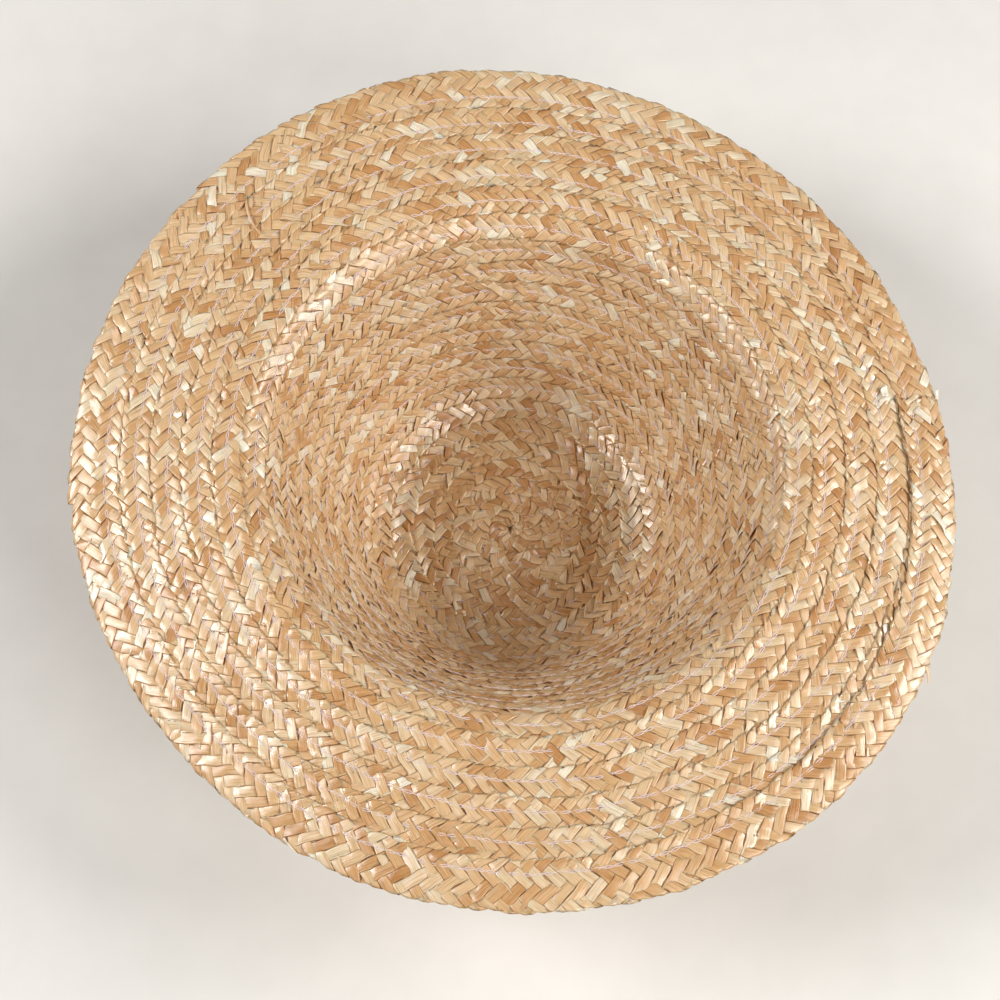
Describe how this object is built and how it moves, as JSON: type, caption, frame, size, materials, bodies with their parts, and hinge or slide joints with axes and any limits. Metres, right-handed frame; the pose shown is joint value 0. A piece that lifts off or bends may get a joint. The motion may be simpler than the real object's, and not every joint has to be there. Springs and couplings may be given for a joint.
{
  "type": "straw sun hat",
  "caption": "Wide-brimmed straw sun hat, coiled from a plaited braid and sewn in overlapping rows, lying crown down with its mouth up.",
  "frame": {"origin": "centre of the crown's tip, on the surface that the hat rests on", "axes": "+Z out of the mouth of the crown, away from the surface; +X towards the cut tail end of the braid, within 10 degrees"},
  "size_m": [0.3356, 0.3364, 0.0994],
  "materials": {
    "plaited_straw": "satin wheat straw, plaited",
    "sewing_thread": "matte pinkish white cotton",
    "cut_straw": "satin cut straw"
  },
  "bodies": {
    "root": {"crown_tip_row_1": "plaited_straw", "crown_tip_row_2": "plaited_straw", "crown_tip_row_3": "plaited_straw", "crown_tip_row_4": "plaited_straw", "crown_tip_row_5": "plaited_straw", "crown_tip_row_6": "plaited_straw", "crown_tip_row_7": "plaited_straw", "crown_wall_row_1": "plaited_straw", "crown_wall_row_2": "plaited_straw", "crown_wall_row_3": "plaited_straw", "crown_wall_row_4": "plaited_straw", "crown_wall_row_5": "plaited_straw", "crown_wall_row_6": "plaited_straw", "crown_wall_row_7": "plaited_straw", "crown_wall_row_8": "plaited_straw", "brim_row_1": "plaited_straw", "brim_row_2": "plaited_straw", "brim_row_3": "plaited_straw", "brim_row_4": "plaited_straw", "brim_row_5": "plaited_straw", "brim_row_6": "plaited_straw", "brim_row_7": "plaited_straw", "seam_thread_crown": "sewing_thread", "seam_thread_brim": "sewing_thread", "tail_stubs": "cut_straw", "loose_straws": "cut_straw"}
  },
  "joints": []
}
